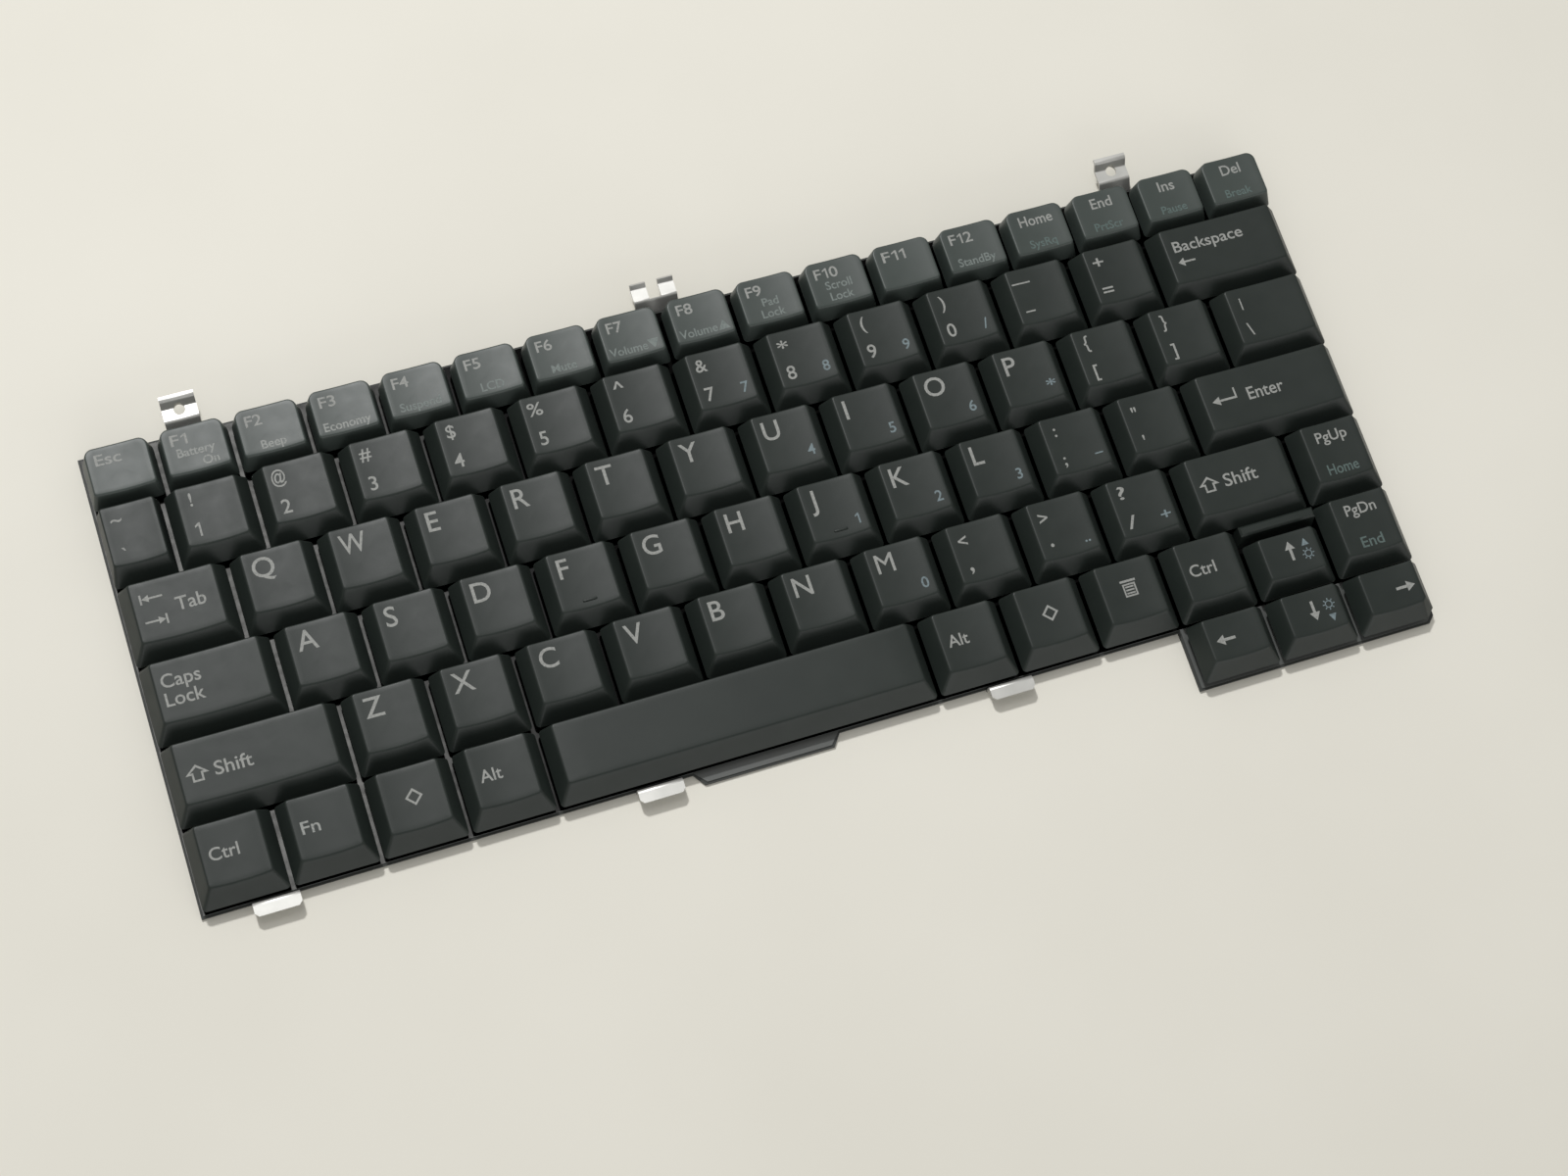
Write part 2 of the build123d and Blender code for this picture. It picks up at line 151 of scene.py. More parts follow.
STOP_HEIGHT = 4.2 * MM
PAD_WIDTHS = {"+": 2.3 * MM, "*": 2.2 * MM}
W_WIDTH = 5.6 * MM

# Legends of the wide keys, from the left and the back edges of the face
TAB_ARROW_X = 4.1 * MM
TAB_ARROWS_Y = (4.0 * MM, 9.2 * MM)
TAB_ARROW_LENGTH = 4.8 * MM
TAB_WORD_X = 8.7 * MM
CAPS_X = 1.5 * MM
CAPS_Y = 3.0 * MM
CAPS_PITCH = 4.1 * MM
SHIFT_ARROW_X = 3.8 * MM
SHIFT_WORD_X = 7.4 * MM
SHIFT_WIDTH = 8.0 * MM
SHIFT_LEFT_DROP = 0.6 * MM
SHORT_WORD_X = 1.7 * MM
SHORT_WORD_WIDTHS = {"Ctrl": 6.2 * MM, "Alt": 4.7 * MM, "Fn": 3.9 * MM}
ENTER_ARROW_X = 5.05 * MM
ENTER_WORD_X = 10.7 * MM
ENTER_WIDTH = 8.7 * MM
BACKSPACE_X = 2.0 * MM
BACKSPACE_WIDTH = 17.2 * MM
BACKSPACE_HEIGHT = 2.6 * MM
BACKSPACE_Y = 5.9 * MM
BACKSPACE_ARROW_X = 4.05 * MM
BACKSPACE_ARROW_Y = 8.5 * MM
BACKSPACE_ARROW_LENGTH = 4.2 * MM
BACKSPACE_ARROW_WING = 1.05 * MM
PAGE_Y = 4.45 * MM
PAGE_WIDTH = 7.4 * MM
PAGE_END_WIDTH = 5.3 * MM
PAGE_NOTE_MARGIN = 1.1 * MM

# Arrow keys: the arrow's form, and the small marks from the middle of the face
ARROW_LENGTH = 4.5 * MM
ARROW_HEAD = 1.9 * MM
ARROW_WING = 1.2 * MM
ARROW_SHAFT = 0.65 * MM
LEFT_ARROW_X = -2.5 * MM
RIGHT_ARROW_X = 3.1 * MM
SIDE_ARROW_Y = -0.55 * MM
UP_ARROW_Y = 0.55 * MM
SIDE_MARKS_X = 3.7 * MM
SIDE_MARKS_Y = {"up": (1.8 * MM, -1.05 * MM), "down": (-2.6 * MM, 0.55 * MM)}

# Line arrows, the bar that closes the arrows of the tab key, and the points of a round mark
LINE_HEAD = 1.5 * MM
LINE_WING = 0.8 * MM
STOP_BAR = 2.2 * MM
RING_POINTS = 24
FONT_STEPS = 4

# Letters that can't be made bolder, the figure one and the space between letters, as shares of the height
THIN_LETTERS = ("M",)
ONE_STEM = 0.14
ONE_FLAG = 0.24
ONE_FLAG_TOP = 0.8
LETTER_GAP = 0.16

# Domes under the keys that travel
DOME_SEGMENTS = 28
DOME_PROFILE = (
    (1.0, 0.0),
    (1.0, 0.08),
    (0.92, 0.12),
    (0.86, 0.2),
    (0.72, 0.68),
    (0.62, 0.78),
    (0.6, 0.97),
    (0.55, 1.0),
    (0.3, 1.0),
)

# Digits that tell the corners of the CAD's solids apart, in metres
SPOT_DIGITS = 7

FUNCTION_NAMES = "esc f1 f2 f3 f4 f5 f6 f7 f8 f9 f10 f11 f12 home end insert delete".split()
MODIFIER_NAMES = (
    "caps_lock shift_left shift_right ctrl_left fn mark_left alt_left alt_right mark_right menu ctrl_right"
).split()
NAVIGATION_NAMES = "page_up page_down up left down right".split()
ARROW_NAMES = ("up", "left", "down", "right")

# Dark coating of the plate, partly real and partly painted shade. Faces below this height that are not
# turned down are darkened where shade falls: the low sheet round the keys and the feet of the tab risers.
COAT_AND_SHADE_TOP = 0.7 * MM
COAT_AND_SHADE_COLOUR = (0.055, 0.058, 0.055)

# Bare metal of the tabs and the underside, with the lines that rolling leaves
BARE_TONES = ((0.5, 0.5, 0.475), (0.59, 0.585, 0.56))
BARE_METALLIC = 0.6
METAL_GLOSS = (0.36, 0.48)
METAL_SHINE = (0.5, 0.1)
ROLL_STRETCH = (60, 3000, 3000)
ROLL_STRENGTH = 0.12
ROLL_DEPTH = 0.02 * MM
FACING_LIMIT = -0.5

# Scale and detail of the noise in each finish, and where on it a finish changes its tone
TONE_NOISE = (90, 4)
GLOSS_NOISE = (260, 3)
GRAIN_NOISE = (7000, 1)
WEAR_NOISE = (2400, 3)
METAL_NOISE = (160, 4)
METAL_GLOSS_NOISE = (420, 4)
ROLL_NOISE = (1.0, 2)
SILVER_NOISE = (500, 3)
TABLE_NOISE = (9, 5)
TONE_PLACES = (0.3, 0.7)
WEAR_PLACES = (0.3, 0.55)
SILVER_PLACES = (0.35, 0.65)

# Gloss and grain of the plastics, the inks and the table
GLOSS_SPREAD = 0.07
GRAIN_DEPTH = 0.03 * MM
INK_ROUGHNESS = 0.6
INK_SHINE = 0.3
PLASTIC_SHINE = 0.5
PLASTIC_GRAIN = 0.25
PLASTIC_ROUGHNESS = 0.42
TABLE_TONES = ((0.70, 0.68, 0.61), (0.74, 0.72, 0.65))
TABLE_ROUGHNESS = 0.6
TABLE_SHINE = 0.25

# Where along x the bright silvering of the switch film fades into near-black painted shade, and the colour
# of that shade
SHADE_FADE_X = (-105.0 * MM, -52.0 * MM)
FILM_SHADE_COLOUR = (0.008, 0.008, 0.008)
SILVER_TONES = ((0.033, 0.033, 0.032), (0.058, 0.058, 0.056))
TONGUE_COLOUR = (0.085, 0.09, 0.086)
FILM_GLOSS = (0.1, 0.45)

# Softened edges of the CAD's nodes
WELD_GAP = 0.001 * MM
BEVEL_SEGMENTS = 2
BEVEL_ANGLE = math.radians(35)
SHEET_BEVEL = 0.08 * MM
FILM_BEVEL = 0.02 * MM
BAR_BEVEL = 0.25 * MM

SKIRT_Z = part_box("key_q")[0].z
FACE_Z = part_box("key_space")[1].z
CAP_HEIGHT = FACE_Z - SKIRT_Z
CEILING_Z = FACE_Z - CAP_ROOF
BLOCK_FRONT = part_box("key_space")[0].y


class Cap:
    """Where one key cap stands, how its walls lean and which body it rides on."""

    def __init__(self, name, body, node, low, high):
        self.name = name
        self.body = body
        self.node = node
        self.low = low
        self.high = high
        self.side = SIDE_SLOPE
        self.front = FRONT_SLOPE
        self.dish = DISH_DEPTH
        self.back_radius = SKIRT_RADIUS
        self.face_back_radius = FACE_RADIUS
        self.cut = 0.0
        self.foot_z = CEILING_Z - PLUNGER_LENGTH if body != "base" else low.z

    def face(self):
        """Left, right, front and back of the face."""
        return (
            self.low.x + self.side,
            self.high.x - self.side,
            self.low.y + self.front,
            self.high.y - BACK_SLOPE,
        )

    def surface(self, x):
        """Height of the dished face above the underside at x."""
        left, right, _, _ = self.face()
        share = (2 * x - left - right) / (right - left)
        return FACE_Z - self.dish * (1 - min(1.0, share * share))


def islands(node):
    """Boxes of the separate solids in a CAD node, back row first and then from left to right."""
    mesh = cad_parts[node].data
    spots = {}
    parent = []
    spot_of = []

    def root(i):
        while parent[i] != i:
            i = parent[i]
        return i

    for vertex in mesh.vertices:
        key = tuple(round(c, SPOT_DIGITS) for c in vertex.co)
        if key not in spots:
            spots[key] = len(parent)
            parent.append(len(parent))
        spot_of.append(spots[key])
    for polygon in mesh.polygons:
        first, *others = [spot_of[v] for v in polygon.vertices]
        for other in others:
            parent[root(other)] = root(first)
    groups = {}
    for key, i in spots.items():
        groups.setdefault(root(i), []).append(Vector(key))
    boxes = []
    for points in groups.values():
        low = Vector([min(p[k] for p in points) for k in range(3)])
        high = Vector([max(p[k] for p in points) for k in range(3)])
        boxes.append((low, high))
    return sorted(boxes, key=lambda b: (-round(b[1].y / MM), b[0].x))


def all_caps():
    """Every cap of the keyboard, the travelling ones and those fixed on stems."""
    caps = []
    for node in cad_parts:
        if node.startswith("key_"):
            key = node[len("key_"):]
            caps.append(Cap(key, f"cap_{key}", node, *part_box(node)))
    groups = (
        ("function_keys", FUNCTION_NAMES),
        ("modifier_keys", MODIFIER_NAMES),
        ("navigation_keys", NAVIGATION_NAMES),
    )
    for node, names in groups:
        for name, (low, high) in zip(names, islands(node), strict=True):
            caps.append(Cap(name, "base", node, low, high))
    for cap in caps:
        if cap.node == "function_keys":
            cap.side = NARROW_SIDE_SLOPE
            cap.front = FUNCTION_FRONT_SLOPE
            cap.back_radius = FUNCTION_BACK_RADIUS
            cap.face_back_radius = FUNCTION_FACE_RADIUS
        if cap.name == "grave":
            cap.side = NARROW_SIDE_SLOPE
        if cap.name == "space":
            cap.dish = 0.0
        if cap.name in ARROW_NAMES:
            cap.front = ARROW_FRONT_SLOPE
        if cap.name == "right":
            cap.cut = OUTER_CUT
    return caps


def loop(left, right, front, back, radii, cut=0.0):
    """Points of a rectangle with rounded corners, anticlockwise from its front left corner.

    radii are those of the front and of the back corners; a cut makes the front right corner a flat one.
    """
    front_radius, back_radius = radii
    corners = (
        (left, front, 1, 1, front_radius, 180),
        (right, front, -1, 1, cut or front_radius, 270),
        (right, back, -1, -1, back_radius, 0),
        (left, back, 1, -1, back_radius, 90),
    )
    arcs = []
    for x, y, inward_x, inward_y, radius, start in corners:
        arc = []
        for step in range(CORNER_STEPS + 1):
            angle = math.radians(start + 90 * step / CORNER_STEPS)
            centre_x = x + inward_x * radius
            centre_y = y + inward_y * radius
            reach = Vector((radius * math.cos(angle), radius * math.sin(angle)))
            arc.append(Vector((centre_x + reach.x, centre_y + reach.y)))
        if cut and start == 270:
            arc = [arc[0].lerp(arc[-1], step / CORNER_STEPS) for step in range(CORNER_STEPS + 1)]
        arcs.append(arc)
    points = []
    for k, arc in enumerate(arcs):
        points += arc
        following = arcs[(k + 1) % 4][0]
        steps = LONG_STEPS if k % 2 == 0 else SHORT_STEPS
        points += [arc[-1].lerp(following, step / steps) for step in range(1, steps)]
    return points


def raised(points, z):
    return [Vector((p.x, p.y, z)) for p in points]


def cap_rings(cap):
    """Rings of points from the foot of the stem, round the hollow and the skirt, up to the face."""
    left, right, front, back = cap.face()
    skirt = (cap.low.x, cap.high.x, cap.low.y, cap.high.y)
    skirt_radii = (SKIRT_RADIUS, cap.back_radius)
    face_radii = (FACE_RADIUS, cap.face_back_radius)
    share = (CEILING_Z - SKIRT_Z) / CAP_HEIGHT
    hollow = (skirt[0] + CAP_WALL, skirt[1] - CAP_WALL, skirt[2] + CAP_WALL, skirt[3] - CAP_WALL)
    roof = (
        hollow[0] + share * cap.side,
        hollow[1] - share * cap.side,
        hollow[2] + share * cap.front,
        hollow[3] - share * BACK_SLOPE,
    )
    stem_x = (roof[0] + roof[1]) / 2
    stem_y = (roof[2] + roof[3]) / 2
    half = STEM_WIDTH / 2
    stem = loop(stem_x - half, stem_x + half, stem_y - half, stem_y + half, (STEM_RADIUS, STEM_RADIUS))
    inner_radii = (HOLLOW_RADIUS, HOLLOW_RADIUS)
    rings = [
        raised(stem, cap.foot_z),
        raised(stem, CEILING_Z),
        raised(loop(*roof, inner_radii), CEILING_Z),
        raised(loop(*hollow, inner_radii), SKIRT_Z),
    ]

    bottom = raised(loop(*skirt, skirt_radii, cap.cut), SKIRT_Z)
    face_cut = cap.cut * FACE_RADIUS / SKIRT_RADIUS / 2
    top = raised(loop(left, right, front, back, face_radii, face_cut), FACE_Z)
    inset = loop(
        left + EDGE_ROUND,
        right - EDGE_ROUND,
        front + EDGE_ROUND,
        back - EDGE_ROUND,
        (FACE_RADIUS / 2, face_radii[1] - FACE_RADIUS / 2),
    )
    edge = []
    below = []
    inside = []
    for low, high, inner in zip(bottom, top, inset, strict=True):
        rise = (cap.surface(high.x) - SKIRT_Z) / CAP_HEIGHT
        corner = low.lerp(high, rise)
        down = (low - corner).normalized()
        moved = Vector((inner.x + corner.x - high.x, inner.y + corner.y - high.y, 0))
        moved.z = cap.surface(moved.x)
        edge.append(corner)
        below.append(corner + down * EDGE_ROUND)
        inside.append(moved)
    rings.append(bottom)
    for lift in WALL_SHARES:
        rings.append([b.lerp(w, lift) for b, w in zip(bottom, below, strict=True)])
    for step in range(ROUND_STEPS + 1):
        t = step / ROUND_STEPS
        start, bend, end = (1 - t) ** 2, 2 * t * (1 - t), t * t
        corners = zip(below, edge, inside, strict=True)
        rings.append([w * start + c * bend + f * end for w, c, f in corners])
    centre = Vector(((left + right) / 2, (front + back) / 2, 0))
    for scale in FACE_SHARES:
        ring = [centre.lerp(f, scale) for f in inside]
        rings.append([Vector((p.x, p.y, cap.surface(p.x))) for p in ring])
    return rings


class Shape:
    """Vertices, faces and material numbers of a mesh under construction."""

    def __init__(self):
        self.points = []
        self.faces = []
        self.inks = []

    def add(self, points, faces, ink=0):
        start = len(self.points)
        self.points += points
        self.faces += [[start + v for v in face] for face in faces]
        self.inks += [ink] * len(faces)

    def add_rings(self, rings, ink=0):
        """A closed skin through the rings, with a point in the middle of the first and the last."""
        count = len(rings[0])
        points = [p for ring in rings for p in ring]
        faces = []
        for r in range(len(rings) - 1):
            for i in range(count):
                j = (i + 1) % count
                faces.append((r * count + i, r * count + j, r * count + count + j, r * count + count + i))
        first_middle = sum(rings[0], Vector()) / count
        last_middle = sum(rings[-1], Vector()) / count
        last = (len(rings) - 1) * count
        points += [first_middle, last_middle]
        for i in range(count):
            j = (i + 1) % count
            faces.append((len(points) - 2, j, i))
            faces.append((last + i, last + j, len(points) - 1))
        self.add(points, faces, ink)

    def object(self, name, materials):
        mesh = bpy.data.meshes.new(name)
        mesh.from_pydata(self.points, [], self.faces)
        for material in materials:
            mesh.materials.append(material)
        mesh.polygons.foreach_set("material_index", self.inks)
        mesh.polygons.foreach_set("use_smooth", [True] * len(self.faces))
        mesh.set_sharp_from_angle(angle=SHARP_ANGLE)
        made = bpy.data.objects.new(name, mesh)
        bpy.context.scene.collection.objects.link(made)
        return made


class Plate:
    """Flat marks of one ink, as thin closed plates with their middle plane at z 0."""

    def __init__(self):
        self.points = []
        self.faces = []

    def join(self, other, x):
        """Take in another plate, moved along x."""
        start = len(self.points)
        self.points += [p + Vector((x, 0, 0)) for p in other.points]
        self.faces += [[start + v for v in face] for face in other.faces]

    def add_loop(self, outline, hole=None):
        """A plate inside a closed outline; a hole has as many points as the outline."""
        start = len(self.points)
        count = len(outline)
        loops = [outline] if hole is None else [outline, hole]
        for z in (-INK_HALF, INK_HALF):
            for ring in loops:
                self.points += [Vector((x, y, z)) for x, y in ring]
        layer = count * len(loops)
        around = [(i, (i + 1) % count) for i in range(count)]
        for i, j in around:
            self.faces.append((start + i, start + j, start + layer + j, start + layer + i))
        if hole is None:
            self.faces.append([start + layer + i for i in range(count)])
            self.faces.append([start + i for i in reversed(range(count))])
            return
        for i, j in around:
            inner_i = start + count + i
            inner_j = start + count + j
            self.faces.append((inner_j, inner_i, inner_i + layer, inner_j + layer))
            self.faces.append((start + layer + i, start + layer + j, inner_j + layer, inner_i + layer))
            self.faces.append((start + j, start + i, inner_i, inner_j))

    def right(self):
        return max((p.x for p in self.points), default=0.0)

    def width(self):
        return self.right() - min(p.x for p in self.points)


writer_curve = bpy.data.curves.new("writer", "FONT")
writer_curve.resolution_u = FONT_STEPS
writer = bpy.data.objects.new("writer", writer_curve)
bpy.context.scene.collection.objects.link(writer)


def written(text):
    """Mesh of a word in the built-in font at size 1."""
    writer_curve.body = text
    depsgraph = bpy.context.evaluated_depsgraph_get()
    depsgraph.update()
    return bpy.data.meshes.new_from_object(writer.evaluated_get(depsgraph))


CAPITAL = max(v.co.y for v in written("H").vertices)


def numeral_one(height):
    """A figure one with a flag, because the font's own looks like a capital I."""
    stem = ONE_STEM * height
    flag = ONE_FLAG * height
    outline = [
        (flag, 0),
        (flag + stem, 0),
        (flag + stem, height),
        (flag + stem / 4, height),
        (0, ONE_FLAG_TOP * height),
        (0, ONE_FLAG_TOP * height - stem),
        (flag, ONE_FLAG_TOP * height),
    ]
    plate = Plate()
    plate.add_loop(outline)
    return plate


def letters(text, height):
    """Letters of the built-in font whose capitals have that height, standing on y 0 from x 0."""
    writer_curve.extrude = INK_HALF * CAPITAL / height
    writer_curve.offset = 0.0 if text in THIN_LETTERS else LETTER_BOLD * CAPITAL / height
    mesh = written(text)
    plate = Plate()
    scale = height / CAPITAL
    left = min(v.co.x for v in mesh.vertices)
    start = Vector((left, 0, 0))
    plate.points = [(v.co - start) * scale for v in mesh.vertices]
    plate.faces = [list(p.vertices) for p in mesh.polygons]
    bpy.data.meshes.remove(mesh)
    return plate


def word(text, height, width=None):
    """A word that stands on y 0 from x 0, drawn out or pressed together to a width if one is given."""
    plate = Plate()
    for k, run in enumerate(text.split("1")):
        if k > 0:
            plate.join(numeral_one(height), plate.right() + LETTER_GAP * height if plate.points else 0)
        if run:
            plate.join(letters(run, height), plate.right() + LETTER_GAP * height if plate.points else 0)
    stretch = width / plate.width() if width else 1.0
    plate.points = [Vector((p.x * stretch, p.y, p.z)) for p in plate.points]
    return plate


def turned(points, quarter_turns):
    for _ in range(quarter_turns % 4):
        points = [(-y, x) for x, y in points]
    return points


def rectangle(x, y, width, height):
    half_x = width / 2
    half_y = height / 2
    corners = ((-half_x, -half_y), (half_x, -half_y), (half_x, half_y), (-half_x, half_y))
    return [(x + across, y + up) for across, up in corners]


def ring_loop(radius, count=RING_POINTS):
    angles = [2 * math.pi * i / count for i in range(count)]
    return [(radius * math.cos(a), radius * math.sin(a)) for a in angles]


def scaled(points, factor):
    return [(x * factor, y * factor) for x, y in points]


def arrow(length, quarter_turns, head=LINE_HEAD, wing=LINE_WING, shaft=STROKE, bar=False):
    """A solid arrow about its middle, to the right for no turns; a bar may close its tip."""
    half = length / 2
    tip = half - (STROKE if bar else 0)
    outline = [
        (-half, -shaft / 2),
        (tip - head, -shaft / 2),
        (tip - head, -wing),
        (tip, 0),
        (tip - head, wing),
        (tip - head, shaft / 2),
        (-half, shaft / 2),
    ]
    plate = Plate()
    plate.add_loop(turned(outline, quarter_turns))
    if bar:
        stop = rectangle(half - STROKE / 2, 0, STROKE, STOP_BAR)
        plate.add_loop(turned(stop, quarter_turns))
    return plate


def bold_arrow(quarter_turns):
    return arrow(ARROW_LENGTH, quarter_turns, ARROW_HEAD, ARROW_WING, ARROW_SHAFT)


def enter_arrow():
    """An arrow to the left whose tail turns up."""
    length = 6.1 * MM
    tail = 2.3 * MM
    shaft = 0.25 * MM
    head = 1.9 * MM
    wing = 1.05 * MM
    half = length / 2
    outline = [
        (-half, 0),
        (head - half, -wing),
        (head - half, -shaft),
        (half, -shaft),
        (half, tail),
        (half - STROKE, tail),
        (half - STROKE, shaft),
        (head - half, shaft),
        (head - half, wing),
    ]
    plate = Plate()
    plate.add_loop(outline)
    return plate


def shift_arrow():
    """The outline of a broad arrow that points up."""
    half = 2.5 * MM
    stem = 1.2 * MM
    top = 1.9 * MM
    neck = -0.2 * MM
    foot = -1.8 * MM
    line = STROKE
    wing_line = 2.5 * STROKE
    tip_line = 1.5 * STROKE
    outline = [
        (stem, foot),
        (stem, neck),
        (half, neck),
        (0, top),
        (-half, neck),
        (-stem, neck),
        (-stem, foot),
    ]
    inner = [
        (stem - line, foot + line),
        (stem - line, neck + line),
        (half - wing_line, neck + line),
        (0, top - tip_line),
        (wing_line - half, neck + line),
        (line - stem, neck + line),
        (line - stem, foot + line),
    ]
    plate = Plate()
    plate.add_loop(outline, inner)
    return plate


def triangle(quarter_turns):
    half = 0.85 * MM
    plate = Plate()
    plate.add_loop(turned([(-half, -half), (half, 0), (-half, half)], quarter_turns))
    return plate


def sun():
    """A ring with short rays."""
    rays = 8
    radius = 0.85 * MM
    line = 0.22 * MM
    gap = 0.08 * MM
    ray = 0.45 * MM
    ray_width = 0.24 * MM
    plate = Plate()
    plate.add_loop(ring_loop(radius), ring_loop(radius - line))
    for k in range(rays):
        cosine = math.cos(2 * math.pi * k / rays)
        sine = math.sin(2 * math.pi * k / rays)
        corners = rectangle(radius + gap + ray / 2, 0, ray, ray_width)
        plate.add_loop([(cosine * x - sine * y, sine * x + cosine * y) for x, y in corners])
    return plate


def diamond():
    """A plain diamond outline, for the two keys that carry a mark."""
    half = 1.9 * MM
    inner_share = 0.66
    outline = [(half, 0), (0, half), (-half, 0), (0, -half)]
    plate = Plate()
    plate.add_loop(outline, scaled(outline, inner_share))
    return plate


def menu_mark():
    """A list: a heading bar over a framed box of lines."""
    bar_width = 3.6 * MM
    bar_height = 0.5 * MM
    box = 3.0 * MM
    gap = 0.35 * MM
    line = 0.36 * MM
    plate = Plate()
    plate.add_loop(rectangle(0, (box + bar_height) / 2 + gap, bar_width, bar_height))
    plate.add_loop(rectangle(0, 0, box, box), rectangle(0, 0, box - 2 * line, box - 2 * line))
    for k in (-1, 0, 1):
        plate.add_loop(rectangle(0, 2 * k * line, box - 3 * line, line))
    return plate


PALE, BLUE, FAINT, WORN_AND_GLINT, TEAL = 1, 2, 3, 4, 5

PAIRS = {
    "grave": "~`",
    "1": "!1",
    "2": "@2",
    "3": "#3",
    "4": "$4",
    "5": "%5",
    "6": "^6",
    "7": "&7",
    "8": "*8",
    "9": "(9",
    "0": ")0",
    "minus": "—–",
    "equals": "+=",
    "left_bracket": "{[",
    "right_bracket": "}]",
    "backslash": "|\\",
    "semicolon": ":;",
    "quote": "\"'",
    "comma": "<,",
    "period": ">.",
    "slash": "?/",
}
PAD_KEYS = "7 8 9 0 u i o p j k l m semicolon period slash".split()
PAD = dict(zip(PAD_KEYS, "7 8 9 / 4 5 6 * 1 2 3 0 – .. +".split(), strict=True))
FUNCTION_WORDS = {
    "esc": ("Esc", 5.6 * MM),
    "home": ("Home", 8.0 * MM),
    "end": ("End", 5.1 * MM),
    "insert": ("Ins", 3.9 * MM),
    "delete": ("Del", 4.8 * MM),
}
F_WIDTHS = {2: 3.6 * MM, 3: 5.5 * MM}
# Notes of F1 to F3 take the lighter worn ink as a painted highlight, for the glint of the light over the
# left of the function row.
GLINT_NOTES = ("f1", "f2", "f3")
SHORT_WORDS = {
    "ctrl_left": "Ctrl",
    "ctrl_right": "Ctrl",
    "fn": "Fn",
    "alt_left": "Alt",
    "alt_right": "Alt",
}
PAGE_WORDS = {"page_up": ("PgUp", "Home"), "page_down": ("PgDn", "End")}
FUNCTION_NOTES = {
    "f1": ("Battery", "On"),
    "f2": ("Beep",),
    "f3": ("Economy",),
    "f4": ("Suspend",),
    "f5": ("LCD",),
    "f6": ("Mute",),
    "f7": ("Volume▼",),
    "f8": ("Volume▲",),
    "f9": ("Pad", "Lock"),
    "f10": ("Scroll", "Lock"),
    "f12": ("StandBy",),
    "home": ("SysRq",),
    "end": ("PrtScr",),
    "insert": ("Pause",),
    "delete": ("Break",),
}


